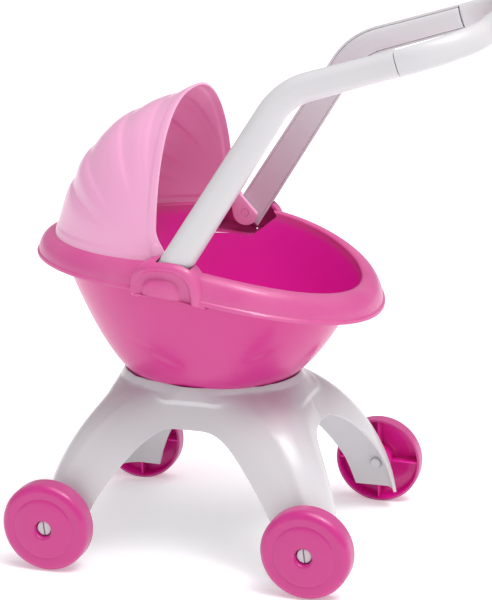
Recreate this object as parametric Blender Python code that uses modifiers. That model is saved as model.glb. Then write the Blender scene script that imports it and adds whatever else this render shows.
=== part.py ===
"""Doll stroller: moulded tub with a tilting hood on a four-legged wheeled base, pushed by a U-shaped handle.

Metres, +Z up, +X towards the push bar, +Y towards the left side. The origin stands on the floor,
under the middle of the whole object. Inside the script, X is measured from the middle of the
wheelbase, and one empty moves everything to the origin.
"""

from math import acos, cos, exp, pi, radians, sin, sqrt, tan

import bmesh
import bpy
from mathutils import Matrix, Vector

MM = 0.001
GAP = 0.3 * MM
SIDES = (("right", -1), ("left", 1))
ENDS = (("front", -1), ("rear", 1))

# Wheels and their axle pins
WHEEL_RADIUS = 45 * MM
WHEEL_INNER_Y = 125.3 * MM
HALF_WHEELBASE = 133 * MM
AXLE_RADIUS = 6 * MM
HUB_BORE_RADIUS = AXLE_RADIUS + GAP
HUB_RADIUS = 13.5 * MM
PIN_HEAD_Y = 20.3 * MM
PIN_SLOT = (1.6 * MM, 4 * MM)
SPOKE_THICKNESS = 1.8 * MM

# Base: one moulded shell, four splayed legs joined by arched skirts
BASE_WALL = 3 * MM
BASE_RING_Z = 178 * MM
BASE_RING = (89.5 * MM, 70 * MM)
BASE_RING_X = -3.5 * MM
BASE_FOOT = (158 * MM, 122 * MM)
LEG_ANGLE = 38.2
LEG_REACH = (188 * MM, 194 * MM)
LEG_CROWN_Z = 190 * MM
LEG_BOTTOM_Z = 20 * MM
LEG_FLAT_Y = 122.3 * MM
LEG_EDGE_ANGLES = (33.0, 48.4)
ARCH_TOPS = (130 * MM, 138 * MM)
DISH_SHARES = (0, 0.12, 0.215)
DISH_CLEARANCE = 9 * MM
SKIRT_RECESS = 3 * MM
SKIRT_BAND = 30 * MM
SKIRT_ROWS = 8

# Tub: bowl, rolled rim and turned-down flange
TUB_WALL = 2.8 * MM
TUB_FLOOR_Z = 170 * MM
TUB_FLOOR = (64 * MM, 52 * MM)
TUB_FLOOR_X = -6 * MM
BASE_PLATE_Z = TUB_FLOOR_Z - TUB_WALL - GAP
OPENING_X = 24 * MM
OPENING_FRONT = 182 * MM
OPENING_REAR = 123 * MM
OPENING_HALF_WIDTH = 116.6 * MM
RIM_Z = 314.5 * MM
RIM_LEVEL_X = -30 * MM
RIM_FALL = 43.5 * MM
RIM_FALL_POWER = 1.63
BOWL_POWER = 1.75
FLANGE_REACH = 18 * MM
FLANGE_FRONT = (2.5 * MM, -6 * MM)
FLANGE_REAR = (4 * MM, 0)
FLANGE_DROP = 24 * MM

# Side housings on the rim, which hold the arms and the hood's ears
HOUSING_X = -1.5 * MM
HOUSING_Z = 284 * MM
HOUSING_HALF_WIDTH = 37 * MM
HOUSING_HEIGHT = 40 * MM
HOUSING_INNER_Y = 119.6 * MM
HOUSING_OUTER_Y = 137.6 * MM
HOUSING_WALL = 3 * MM

# Hood
HOOD_WALL = 2.2 * MM
PIVOT_X = -4.5 * MM
PIVOT_Z = 308 * MM
HOOD_OPENING_X = -17 * MM
HOOD_RADIUS = 149 * MM
HOOD_LIP = 8.5 * MM
HOOD_TAIL = 9.5 * MM
HOOD_HALF_WIDTH = 118.8 * MM
HOOD_EDGE_Z = 318 * MM
HOOD_ROUNDNESS = (2.35, 2.0)
HOOD_ROWS = 12
EAR_RADIUS = 13.5 * MM
EAR_Y = (113.8 * MM, 118.6 * MM)
EAR_STEM_X = (-16.5 * MM, -2 * MM)
EAR_STEM_HEIGHT = 22 * MM
PIVOT_PIN_RADIUS = 4 * MM

# Handle: two arms, each a moulded shell with a clip-in cover, and a U-shaped push bar
ARM_INNER_Y = 119.9 * MM
ARM_OUTER_Y = 133.9 * MM
ARM_WALL = 2.4 * MM
ARM_FOOT = (-7.5 * MM, 298.6 * MM)
ARM_ANGLE = 56.9
ARM_BEND = (114.2 * MM, 485.6 * MM)
ARM_BEND_RADIUS = 66 * MM
GRIP_ANGLE = 16.6
ARM_TOP_X = 220.5 * MM
ARM_WIDTHS = (31 * MM, 25.5 * MM)
BAR_REAR_X = 295 * MM
BAR_HALF_HEIGHT = 12.4 * MM
BAR_HALF_DEPTHS = (6.9 * MM, 9.5 * MM)
BAR_CORNER_RADIUS = 62 * MM
BAR_WALL = 2.4 * MM
SPIGOT_LENGTH = 24 * MM

SCREW_SPOTS = ((-48, -22), (-48, 22), (28, -22), (28, 22))
SCREW_RADIUS = 2 * MM
SCREW_HEAD_RADIUS = 4.2 * MM

RIM_FRONT_X = OPENING_X - OPENING_FRONT - FLANGE_REACH - FLANGE_FRONT[0]
FRAME_X = -(RIM_FRONT_X + BAR_REAR_X) / 2

WHITE = (0.86, 0.84, 0.87, 1)
PINK = (0.72, 0.10, 0.33, 1)
PALE_PINK = (0.80, 0.38, 0.62, 1)
STEEL = (0.55, 0.55, 0.57, 1)


# ---------------------------------------------------------------- scene helpers

def clear_scene():
    for obj in list(bpy.data.objects):
        bpy.data.objects.remove(obj, do_unlink=True)


def new_collection(name):
    collection = bpy.data.collections.new(name)
    bpy.context.scene.collection.children.link(collection)
    return collection


def new_material(name, color, roughness, metallic=0.0):
    material = bpy.data.materials.new(name)
    material.use_nodes = True
    shader = material.node_tree.nodes["Principled BSDF"]
    shader.inputs["Base Color"].default_value = color
    shader.inputs["Roughness"].default_value = roughness
    shader.inputs["Metallic"].default_value = metallic
    return material


def add_object(name, bm, collection, material=None, location=(0, 0, 0)):
    mesh = bpy.data.meshes.new(name)
    bm.to_mesh(mesh)
    bm.free()
    mesh.shade_smooth()
    mesh.set_sharp_from_angle(angle=radians(35))
    obj = bpy.data.objects.new(name, mesh)
    collection.objects.link(obj)
    obj.location = location
    obj.parent = frame
    if material:
        mesh.materials.append(material)
    return obj


def solidify(obj, thickness, offset=-1):
    modifier = obj.modifiers.new("Wall", "SOLIDIFY")
    modifier.thickness = thickness
    modifier.offset = offset
    modifier.use_even_offset = True


def boolean(obj, other, operation="DIFFERENCE"):
    modifier = obj.modifiers.new(f"{operation.title()} {other.name}", "BOOLEAN")
    modifier.operation = operation
    modifier.object = other


def as_cutter(obj):
    obj.hide_render = True
    obj.display_type = "WIRE"
    return obj


def wrapped_sheet(columns, rows, place, round_about=True):
    """A grid wrapped into an open sheet: place(u, row) gives each point, u from 0 to 1."""
    bm = bmesh.new()
    bmesh.ops.create_grid(bm, x_segments=columns, y_segments=rows, size=0.5)
    for vert in bm.verts:
        vert.co = place(vert.co.x + 0.5, round((vert.co.y + 0.5) * rows))
    if round_about:
        bmesh.ops.remove_doubles(bm, verts=bm.verts, dist=0.01 * MM)
    return bm


def face_outward(bm, sign, direction):
    """Turns an open sheet's faces so that the one furthest along direction looks that way."""
    bmesh.ops.recalc_face_normals(bm, faces=bm.faces)
    bm.normal_update()
    direction = Vector(direction) * sign
    extreme = max(bm.faces, key=lambda face: face.calc_center_median().dot(direction))
    if extreme.normal.dot(direction) < 0:
        bmesh.ops.reverse_faces(bm, faces=bm.faces)


def block(low, high):
    bm = bmesh.new()
    bmesh.ops.create_cube(bm, size=1)
    size = Vector(high) - Vector(low)
    bmesh.ops.scale(bm, vec=size, verts=bm.verts)
    bmesh.ops.translate(bm, vec=(Vector(high) + Vector(low)) / 2, verts=bm.verts)
    return bm


def rod(radius, start_y, end_y, x, z, segments=14):
    """A plain cylinder along Y."""
    bm = bmesh.new()
    turn = Matrix.Rotation(radians(90), 4, "X")
    place = Matrix.Translation((x, (start_y + end_y) / 2, z)) @ turn
    bmesh.ops.create_cone(bm, cap_ends=True, segments=segments, radius1=radius, radius2=radius,
                          depth=abs(end_y - start_y), matrix=place)
    return bm


def turned(name, profile, collection, material, location, rotation, segments=20):
    """A closed (radius, height) profile turned about the object's Z axis."""
    bm = bmesh.new()
    verts = [bm.verts.new((radius, 0, height)) for radius, height in profile]
    on_axis = profile[0][0] == 0 and profile[-1][0] == 0
    for first, second in zip(verts, verts[1:] + ([] if on_axis else verts[:1])):
        bm.edges.new((first, second))
    obj = add_object(name, bm, collection, material, location)
    obj.rotation_euler = rotation
    screw = obj.modifiers.new("Turn", "SCREW")
    screw.steps = segments
    screw.render_steps = segments
    screw.merge_threshold = 0.01 * MM
    screw.use_merge_vertices = True
    return obj


# ---------------------------------------------------------------- base

def drop_share(z):
    return min(max((BASE_RING_Z - z) / BASE_RING_Z, 0), 1)


def base_radius(angle, z):
    """Distance of the base's skin from the middle axis, for a direction in degrees and a height."""
    share = drop_share(z)
    half_x = BASE_RING[0] + (BASE_FOOT[0] - BASE_RING[0]) * share ** 0.85
    half_y = BASE_RING[1] + (BASE_FOOT[1] - BASE_RING[1]) * share ** 0.8
    turn = radians(angle)
    oval = 1 / sqrt((cos(turn) / half_x) ** 2 + (sin(turn) / half_y) ** 2)
    leg = radians(LEG_ANGLE)
    oval_at_leg = 1 / sqrt((cos(leg) / half_x) ** 2 + (sin(leg) / half_y) ** 2)
    reach = LEG_REACH[cos(turn) > 0] * sqrt(1 - min(z / LEG_CROWN_Z, 1) ** 2)
    folded = abs((angle + 90) % 180 - 90)
    spread = 21 - 5 * share
    bump = exp(-((folded - LEG_ANGLE) / spread) ** 2)
    return oval + max(reach - oval_at_leg, 0) * bump


def skirt_edge(angle):
    """Height of the skirt's lower edge: an arch between each two legs."""
    folded = abs((angle + 90) % 180 - 90)
    rear_edge, side_edge = LEG_EDGE_ANGLES
    if folded < rear_edge:
        share, top = folded / rear_edge, ARCH_TOPS[0]
    elif folded > side_edge:
        share, top = (90 - folded) / (90 - side_edge), ARCH_TOPS[1]
    else:
        return LEG_BOTTOM_Z
    return LEG_BOTTOM_Z + (top - LEG_BOTTOM_Z) * (1 - share ** 4) ** 0.714


def base_angle(u):
    """Columns crowd together on the legs, where the edge falls steeply."""
    quarter = int(u * 4) % 4
    share = u * 4 - int(u * 4)
    if quarter % 2:
        share = 1 - share
    if share < 0.5:
        angle = 39.5 * (1 - (1 - share / 0.5) ** 1.6)
    else:
        angle = 39.5 + 50.5 * ((share - 0.5) / 0.5) ** 1.6
    return (angle, 180 - angle, 180 + angle, 360 - angle)[quarter]


def dish_point(turn, share):
    """Point of the dish that carries the tub, a little under the bowl's outer side."""
    point = bowl_point(turn, share)
    point.z -= TUB_WALL + GAP + DISH_CLEARANCE * share
    return point


def base_point(u, row):
    angle = base_angle(u)
    turn = radians(angle)
    if row == 0:
        return Vector((TUB_FLOOR_X, 0, BASE_PLATE_Z))
    if row <= len(DISH_SHARES):
        return dish_point(turn, DISH_SHARES[row - 1])
    share = (row - len(DISH_SHARES) - 1) / SKIRT_ROWS
    z = BASE_RING_Z + (skirt_edge(angle) - BASE_RING_Z) * share
    radius = base_radius(angle, z)
    above = z - skirt_edge(angle)
    if 0.5 < share:
        radius -= SKIRT_RECESS * max(0, 1 - above / SKIRT_BAND) * min(1, above / (4 * MM) + 0.6)
    y = radius * sin(turn)
    y = max(-LEG_FLAT_Y, min(LEG_FLAT_Y, y))
    return Vector((radius * cos(turn) + BASE_RING_X * (1 - drop_share(z)), y, z))


def make_base():
    bm = wrapped_sheet(64, len(DISH_SHARES) + 1 + SKIRT_ROWS, base_point)
    face_outward(bm, 1, (1, 0, 0))
    base = add_object("base", bm, parts, white)
    solidify(base, BASE_WALL)
    for end_name, end in ENDS:
        for side_name, side in SIDES:
            hole = rod(HUB_BORE_RADIUS, side * 105 * MM, side * 130 * MM,
                       end * HALF_WHEELBASE, WHEEL_RADIUS)
            name = f"axle_hole_{end_name}_{side_name}"
            boolean(base, as_cutter(add_object(name, hole, cutters)))
    for number, (x, y) in enumerate(SCREW_SPOTS, 1):
        boolean(base, screw_hole(number, x * MM, y * MM))
    return base


# ---------------------------------------------------------------- tub

def rim_height(x):
    """The rim is level over the front and falls away towards the rear."""
    share = max(x - RIM_LEVEL_X, 0) / (OPENING_X + OPENING_REAR - RIM_LEVEL_X)
    return RIM_Z - RIM_FALL * share ** RIM_FALL_POWER


def opening_point(turn):
    """Point on the opening's edge and the outward direction there, both in plan."""
    reach = OPENING_REAR if cos(turn) > 0 else OPENING_FRONT
    point = Vector((OPENING_X + reach * cos(turn), OPENING_HALF_WIDTH * sin(turn), 0))
    outward = Vector((cos(turn) / reach, sin(turn) / OPENING_HALF_WIDTH, 0)).normalized()
    return point, outward


ROLL = ((0.12, -0.11), (0.36, -0.06), (0.74, 0.30), (1.0, 1.0))
BOWL_ROWS = 6


def bowl_point(turn, share):
    """Point inside the bowl: share runs from the floor's edge to the opening's edge."""
    edge = opening_point(turn)[0]
    floor = Vector((TUB_FLOOR_X + TUB_FLOOR[0] * cos(turn), TUB_FLOOR[1] * sin(turn), 0))
    point = floor.lerp(edge, share)
    point.z = TUB_FLOOR_Z + (rim_height(edge.x) - TUB_FLOOR_Z) * share ** BOWL_POWER
    return point


def tub_point(u, row):
    turn = 2 * pi * u
    if row == 0:
        return Vector((TUB_FLOOR_X, 0, TUB_FLOOR_Z))
    if row <= BOWL_ROWS + 1:
        return bowl_point(turn, (row - 1) / BOWL_ROWS)
    edge, outward = opening_point(turn)
    out, down = ROLL[row - BOWL_ROWS - 2]
    more_reach, more_drop = FLANGE_REAR if cos(turn) > 0 else FLANGE_FRONT
    reach = FLANGE_REACH + more_reach * cos(turn) ** 2
    drop = FLANGE_DROP + more_drop * cos(turn) ** 2
    point = edge + outward * reach * out
    point.z = rim_height(edge.x) - drop * down
    return point


def arch_solid(shrink, inner_y, outer_y, bottom):
    """An arched block across the rim: straight feet, superellipse crown."""
    bm = bmesh.new()
    half, height = HOUSING_HALF_WIDTH - shrink, HOUSING_HEIGHT - shrink
    spring = HOUSING_Z + HOUSING_WALL + 1 * MM
    height -= spring - HOUSING_Z
    verts = []
    steps = 14
    for step in range(steps + 1):
        turn = pi * step / steps
        x = half * abs(cos(turn)) ** 0.7 * (1 if cos(turn) > 0 else -1)
        verts.append(bm.verts.new((HOUSING_X + x, inner_y, spring + height * sin(turn) ** 0.7)))
    for x in (-half, half):
        verts.append(bm.verts.new((HOUSING_X + x, inner_y, bottom)))
    face = bm.faces.new(verts)
    moved = bmesh.ops.extrude_face_region(bm, geom=[face])["geom"]
    lifted = [item for item in moved if isinstance(item, bmesh.types.BMVert)]
    bmesh.ops.translate(bm, vec=(0, outer_y - inner_y, 0), verts=lifted)
    bmesh.ops.recalc_face_normals(bm, faces=bm.faces)
    return bm


def arm_slot(side):
    """The opening in the housing's roof that one arm passes through."""
    x, z = ARM_FOOT
    half = ARM_WIDTHS[0] / 2 + 2 * GAP
    bm = block((-half, ARM_INNER_Y - 6 * MM, -5 * MM), (half, ARM_OUTER_Y + GAP, 60 * MM))
    turn = Matrix.Rotation(radians(90 - ARM_ANGLE), 4, "Y")
    bmesh.ops.transform(bm, matrix=Matrix.Translation((x, 0, z)) @ turn, verts=bm.verts)
    if side < 0:
        bmesh.ops.scale(bm, vec=(1, -1, 1), verts=bm.verts)
        bmesh.ops.recalc_face_normals(bm, faces=bm.faces)
    return bm


def make_tub():
    bm = wrapped_sheet(48, BOWL_ROWS + 1 + len(ROLL), tub_point)
    face_outward(bm, 1, (-1, 0, 0))
    tub = add_object("tub", bm, parts, pink)
    solidify(tub, TUB_WALL)
    for side_name, side in SIDES:
        ends = (side * HOUSING_INNER_Y, side * HOUSING_OUTER_Y)
        shell = arch_solid(0, *ends, HOUSING_Z - 1 * MM)
        boolean(tub, as_cutter(add_object(f"housing_{side_name}", shell, cutters)), "UNION")
        floor = block((HOUSING_X - HOUSING_HALF_WIDTH, min(side * 111 * MM, side * 136 * MM), HOUSING_Z),
                      (HOUSING_X + HOUSING_HALF_WIDTH, max(side * 111 * MM, side * 136 * MM),
                       HOUSING_Z + HOUSING_WALL))
        boolean(tub, as_cutter(add_object(f"housing_floor_{side_name}", floor, cutters)), "UNION")
        pocket = arch_solid(HOUSING_WALL, side * 100 * MM, side * (HOUSING_OUTER_Y - HOUSING_WALL),
                            HOUSING_Z + HOUSING_WALL)
        boolean(tub, as_cutter(add_object(f"pocket_{side_name}", pocket, cutters)))
        boolean(tub, as_cutter(add_object(f"arm_slot_{side_name}", arm_slot(side), cutters)))
    for number, (x, y) in enumerate(SCREW_SPOTS, 1):
        boolean(tub, bpy.data.objects[f"screw_hole_{number}"])
    return tub


# ---------------------------------------------------------------- hood

def flare(share):
    """How far the hood stands out at its lip, and at its tail on the rim."""
    lip = HOOD_LIP * max(0, 1 - share / 0.16) ** 1.5
    tail = HOOD_TAIL * max(0, (share - 0.7) / 0.3) ** 2
    return lip + tail


def hood_point(u, row):
    share = row / HOOD_ROWS
    first, last = HOOD_ROUNDNESS
    power = 2 / (first + (last - first) * share)
    across = pi * u
    side = 1 if cos(across) > 0 else -1
    y = HOOD_HALF_WIDTH * side * abs(cos(across)) ** power
    reach = (HOOD_RADIUS + flare(share)) * abs(sin(across)) ** power
    start = acos(max(-1, (HOOD_OPENING_X - PIVOT_X) / max(reach, MM)))
    turn = start + (pi - start) * share
    return Vector((PIVOT_X + reach * cos(turn), y, PIVOT_Z + reach * sin(turn)))


def ear_solid(side):
    """The rounded tab that hangs from the hood's corner into the housing."""
    low, high = sorted((side * EAR_Y[0], side * EAR_Y[1]))
    front, rear = EAR_STEM_X
    return rod(EAR_RADIUS, low, high, 0, 0), block((front, low, 0), (rear, high, EAR_STEM_HEIGHT))


def make_hood():
    bm = wrapped_sheet(20, HOOD_ROWS, hood_point, round_about=False)
    bmesh.ops.remove_doubles(bm, verts=bm.verts, dist=0.01 * MM)
    everything = bm.verts[:] + bm.edges[:] + bm.faces[:]
    bmesh.ops.bisect_plane(bm, geom=everything, plane_co=(0, 0, HOOD_EDGE_Z), plane_no=(0, 0, -1),
                           clear_outer=True)
    bmesh.ops.translate(bm, vec=(-PIVOT_X, 0, -PIVOT_Z), verts=bm.verts)
    face_outward(bm, 1, (0, 0, 1))
    hood = add_object("hood", bm, parts, pale_pink, (PIVOT_X, 0, PIVOT_Z))
    solidify(hood, HOOD_WALL)
    for side_name, side in SIDES:
        disc, stem = ear_solid(side)
        for name, solid in (("ear_disc", disc), ("ear_stem", stem)):
            piece = add_object(f"{name}_{side_name}", solid, cutters, None, (PIVOT_X, 0, PIVOT_Z))
            boolean(hood, as_cutter(piece), "UNION")
        bore = rod(PIVOT_PIN_RADIUS + GAP, side * 110 * MM, side * 122 * MM, PIVOT_X, PIVOT_Z)
        boolean(hood, as_cutter(add_object(f"ear_bore_{side_name}", bore, cutters)))
    return hood


# ---------------------------------------------------------------- handle

def arm_path():
    """Middle line of an arm in the XZ plane: points with the direction of travel in radians."""
    low, high = radians(ARM_ANGLE), radians(GRIP_ANGLE)
    tangent = ARM_BEND_RADIUS * tan((low - high) / 2)
    bend = Vector(ARM_BEND)
    start = bend - Vector((cos(low), sin(low))) * tangent
    centre = start + Vector((sin(low), -cos(low))) * ARM_BEND_RADIUS
    path = [(Vector(ARM_FOOT), low), (Vector(ARM_FOOT).lerp(start, 0.5), low)]
    steps = 5
    for step in range(steps + 1):
        turn = low + (high - low) * step / steps
        path.append((centre + Vector((-sin(turn), cos(turn))) * ARM_BEND_RADIUS, turn))
    end = bend + Vector((cos(high), sin(high))) * (ARM_TOP_X - bend.x) / cos(high)
    path.append((path[-1][0].lerp(end, 0.5), high))
    path.append((end, high))
    return path


def arm_width(index, count):
    return ARM_WIDTHS[0] + (ARM_WIDTHS[1] - ARM_WIDTHS[0]) * min(1, index / (count - 2))


def arm_section(side, across, depth_scale, half):
    """One point of the D-shaped section: across runs from -1 to 1 over the rounded back."""
    turn = pi / 2 * across
    offset = half * (1 if across > 0 else -1) * abs(sin(turn)) ** 0.8
    depth = (ARM_OUTER_Y - ARM_INNER_Y) * abs(cos(turn)) ** 0.55 * depth_scale
    return offset, side * (ARM_INNER_Y + depth)


def make_arm(side_name, side):
    path = arm_path()

    def shell_point(u, row):
        point, turn = path[row]
        offset, y = arm_section(side, 2 * u - 1, 1, arm_width(row, len(path)) / 2)
        return Vector((point.x - sin(turn) * offset, y, point.y + cos(turn) * offset))

    bm = wrapped_sheet(8, len(path) - 1, shell_point, round_about=False)
    face_outward(bm, side, (0, 1, 0))
    arm = add_object(f"arm_{side_name}", bm, parts, white)
    solidify(arm, ARM_WALL)

    def cover_point(u, row):
        point, turn = path[row]
        half = arm_width(row, len(path)) / 2 - ARM_WALL - 0.7 * MM
        offset = half * (2 * u - 1)
        return Vector((point.x - sin(turn) * offset, side * (ARM_INNER_Y + GAP),
                       point.y + cos(turn) * offset))

    bm = wrapped_sheet(2, len(path) - 1, cover_point, round_about=False)
    face_outward(bm, -side, (0, 1, 0))
    cover = add_object(f"arm_cover_{side_name}", bm, parts, white)
    solidify(cover, 2 * MM)
    bore = rod(PIVOT_PIN_RADIUS + GAP, side * 118 * MM, side * 126 * MM, PIVOT_X, PIVOT_Z)
    boolean(cover, as_cutter(add_object(f"cover_bore_{side_name}", bore, cutters)))


def bar_path():
    """Half of the push bar's middle line, in its own tilted plane: (along, y, heading)."""
    along_end = (BAR_REAR_X - ARM_TOP_X) / cos(radians(GRIP_ANGLE)) - BAR_HALF_DEPTHS[1]
    arm_y = (ARM_INNER_Y + ARM_OUTER_Y) / 2
    corner = along_end - BAR_CORNER_RADIUS
    half = [(-SPIGOT_LENGTH, arm_y, 0, True), (GAP, arm_y, 0, True), (GAP, arm_y, 0, False)]
    steps = 4
    for step in range(steps + 1):
        turn = pi / 2 * step / steps
        half.append((corner + BAR_CORNER_RADIUS * sin(turn),
                     arm_y - BAR_CORNER_RADIUS * (1 - cos(turn)), turn, False))
    half.append((along_end, (arm_y - BAR_CORNER_RADIUS) / 2, pi / 2, False))
    return half


def make_push_bar():
    half = bar_path()
    near = [(along, -y, -turn, inner) for along, y, turn, inner in half]
    path = near + half[::-1]
    tilt = radians(GRIP_ANGLE)
    end = arm_path()[-1][0]

    def bar_point(u, row):
        along, y, turn, inner = path[row]
        around = 2 * pi * u
        share = abs(sin(turn))
        depth = BAR_HALF_DEPTHS[0] + (BAR_HALF_DEPTHS[1] - BAR_HALF_DEPTHS[0]) * share
        height = BAR_HALF_HEIGHT
        if inner:
            depth, height = 3.9 * MM, 9.2 * MM
        outward = depth * cos(around)
        along += outward * share
        y += outward * cos(turn) * (1 if y > 0 else -1)
        up = height * sin(around)
        return Vector((end.x + along * cos(tilt) - up * sin(tilt), y,
                       end.y + along * sin(tilt) + up * cos(tilt)))

    bm = wrapped_sheet(10, len(path) - 1, bar_point)
    face_outward(bm, 1, (1, 0, 0))
    bar = add_object("push_bar", bm, parts, white)
    solidify(bar, BAR_WALL)


# ---------------------------------------------------------------- wheels and pins

def wheel_profile():
    """Hub hole, domed face, groove, rounded shoulder and tread, then back inside the cup."""
    pairs = (
        (6.3, 12), (10, 12), (10, 21.8), (11.2, 22.8), (29.5, 20.2), (31, 19.4), (37, 20.5),
        (42, 18.8), (45, 14.5), (45, 1), (44, 0), (42.2, 0), (42.2, 13), (38, 17.2), (30, 16.6),
        (13.5, 19), (13.5, 2), (6.3, 2),
    )
    return [(radius * MM, height * MM) for radius, height in pairs]


def pin_profile():
    """Domed head, shaft through the hub and the leg's wall, tapered tip."""
    pairs = ((0, 20.3), (7, 20.3), (9.1, 18.6), (9.1, 12.4), (6, 12.4), (6, -7), (4.8, -9.5), (0, -9.5))
    return [(radius * MM, height * MM) for radius, height in pairs]


def wheel_ribs(centre, side):
    """A cross of thin ribs inside the cup, joined to the hub and the tread."""
    inner = side * (WHEEL_INNER_Y + 2.5 * MM)
    outer = side * (WHEEL_INNER_Y + 15 * MM)
    low, high = sorted((inner, outer))
    half = SPOKE_THICKNESS / 2
    cx, cz = centre
    reach = 43 * MM
    across = block((cx - reach, low, cz - half), (cx + reach, high, cz + half))
    upright = block((cx - half, low, cz - reach), (cx + half, high, cz + reach))
    return across, upright


def make_wheel(end_name, end, side_name, side):
    name = f"{end_name}_{side_name}"
    place = (end * HALF_WHEELBASE, side * WHEEL_INNER_Y, WHEEL_RADIUS)
    rotation = (radians(-90 * side), 0, 0)
    wheel = turned(f"wheel_{name}", wheel_profile(), parts, wheel_pink, place, rotation)
    centre = (end * HALF_WHEELBASE, WHEEL_RADIUS)
    hub_bore = rod(12 * MM, side * 120 * MM, side * 150 * MM, *centre)
    bore = as_cutter(add_object(f"rib_bore_{name}", hub_bore, cutters))
    for number, solid in enumerate(wheel_ribs(centre, side), 1):
        rib = as_cutter(add_object(f"rib_{name}_{number}", solid, cutters))
        boolean(rib, bore)
        boolean(wheel, rib, "UNION")
    pin = turned(f"axle_pin_{name}", pin_profile(), parts, white, place, rotation, 12)
    head = side * (WHEEL_INNER_Y + PIN_HEAD_Y)
    width, depth = PIN_SLOT
    low, high = sorted((head + side * depth, head - side * depth))
    x = end * HALF_WHEELBASE
    slot = block((x - width / 2, low, WHEEL_RADIUS - HUB_RADIUS),
                 (x + width / 2, high, WHEEL_RADIUS + HUB_RADIUS))
    boolean(pin, as_cutter(add_object(f"pin_slot_{name}", slot, cutters)))


def make_pivot_pin(side_name, side):
    """The stub that the hood's ear turns on, held in the arm's cover."""
    start, end = side * (EAR_Y[0] + 0.2 * MM), side * (ARM_INNER_Y + 2 * MM)
    add_object(f"hood_pivot_{side_name}", rod(PIVOT_PIN_RADIUS, start, end, PIVOT_X, PIVOT_Z, 16),
               parts, white)


# ---------------------------------------------------------------- screws

def screw_hole(number, x, y):
    bm = rod(SCREW_RADIUS + GAP, -8 * MM, 8 * MM, 0, 0, 12)
    bmesh.ops.rotate(bm, cent=(0, 0, 0), matrix=Matrix.Rotation(radians(90), 3, "X"), verts=bm.verts)
    bmesh.ops.translate(bm, vec=(x, y, BASE_PLATE_Z), verts=bm.verts)
    return as_cutter(add_object(f"screw_hole_{number}", bm, cutters))


def make_screw(number, x, y):
    head_top = BASE_PLATE_Z - BASE_WALL - GAP - 0.3 * MM
    tip = TUB_FLOOR_Z - 0.6 * MM - head_top
    profile = [(0, tip), (SCREW_RADIUS - 0.6 * MM, tip), (SCREW_RADIUS, tip - 1 * MM),
               (SCREW_RADIUS, 0), (SCREW_HEAD_RADIUS, 0), (SCREW_HEAD_RADIUS - 0.5 * MM, -2.2 * MM),
               (0, -2.6 * MM)]
    turned(f"tub_screw_{number}", profile, parts, steel, (x, y, head_top), (0, 0, 0), 12)


clear_scene()
parts = new_collection("doll_stroller")
cutters = new_collection("cutters")
frame = bpy.data.objects.new("frame", None)
frame.location = (FRAME_X, 0, 0)
parts.objects.link(frame)

white = new_material("white_plastic", WHITE, 0.3)
pink = new_material("pink_plastic", PINK, 0.28)
wheel_pink = new_material("wheel_plastic", PINK, 0.32)
pale_pink = new_material("pale_pink_plastic", PALE_PINK, 0.3)
steel = new_material("steel", STEEL, 0.35, 1.0)

make_base()
make_tub()
make_hood()
make_push_bar()
for side_name, side in SIDES:
    make_arm(side_name, side)
    make_pivot_pin(side_name, side)
    for end_name, end in ENDS:
        make_wheel(end_name, end, side_name, side)
for number, (x, y) in enumerate(SCREW_SPOTS, 1):
    make_screw(number, x * MM, y * MM)
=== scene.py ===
# %% [markdown]
# # A doll stroller in moulded plastic
# The stroller is a pink tub with a pale hood, on a white four-legged base with four wheels, and a child
# pushes it by a tall white handle. The solid model behind it is already fixed: it says where each part sits
# and which parts move. This lesson builds the visible skins around that frame, one part at a time, and then
# their plastics.

# %% Load the fixed frame
from math import acos, atan2, cos, exp, pi, radians, sin, sqrt, tan

import bmesh
import bpy
from mathutils import Matrix, Vector


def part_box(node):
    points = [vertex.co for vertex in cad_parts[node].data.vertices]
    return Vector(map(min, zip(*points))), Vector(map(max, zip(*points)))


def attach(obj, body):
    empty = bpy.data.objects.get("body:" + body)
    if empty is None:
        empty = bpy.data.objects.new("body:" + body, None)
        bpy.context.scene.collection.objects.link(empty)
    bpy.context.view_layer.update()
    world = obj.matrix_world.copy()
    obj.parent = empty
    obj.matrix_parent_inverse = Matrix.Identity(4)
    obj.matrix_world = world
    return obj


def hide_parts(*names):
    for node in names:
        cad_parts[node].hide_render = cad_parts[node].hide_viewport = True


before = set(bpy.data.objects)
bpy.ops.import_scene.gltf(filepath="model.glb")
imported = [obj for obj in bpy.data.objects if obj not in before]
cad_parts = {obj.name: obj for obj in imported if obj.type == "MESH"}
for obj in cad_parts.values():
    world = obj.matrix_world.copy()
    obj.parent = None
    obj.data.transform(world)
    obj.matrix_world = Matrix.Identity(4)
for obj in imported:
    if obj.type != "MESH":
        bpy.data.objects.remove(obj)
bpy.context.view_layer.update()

MM = 0.001
SIDES = (("right", -1), ("left", 1))
ENDS = (("front", -1), ("rear", 1))

# %% [markdown]
# All lengths are in metres, and the middle of the wheelbase is the handiest place to measure from, because
# the wheels, the base and the tub are all laid out around it. The wheels' own boxes in the frame give that
# middle.

# %% Measure the frame
front_box, rear_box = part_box("wheel_front_right"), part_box("wheel_rear_right")
wheel_radius = (front_box[1].z - front_box[0].z) / 2
front_x = (front_box[0].x + front_box[1].x) / 2
rear_x = (rear_box[0].x + rear_box[1].x) / 2
MIDDLE_X = (front_x + rear_x) / 2
half_wheelbase = (rear_x - front_x) / 2
wheel_inner_y = -front_box[1].y
pivot_low, pivot_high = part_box("hood_pivot_right")
PIVOT = Vector(((pivot_low.x + pivot_high.x) / 2 - MIDDLE_X, 0, (pivot_low.z + pivot_high.z) / 2))
print(f"wheelbase {2 * half_wheelbase / MM:.0f} mm, wheels {2 * wheel_radius / MM:.0f} mm")

# %% [markdown]
# A long lens from well back hardly distorts a toy of this size. The camera looks slightly down on the
# stroller's right side, from a little behind the middle, and is tilted by about one degree. It is built
# from three directions: right, up and back.

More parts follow.
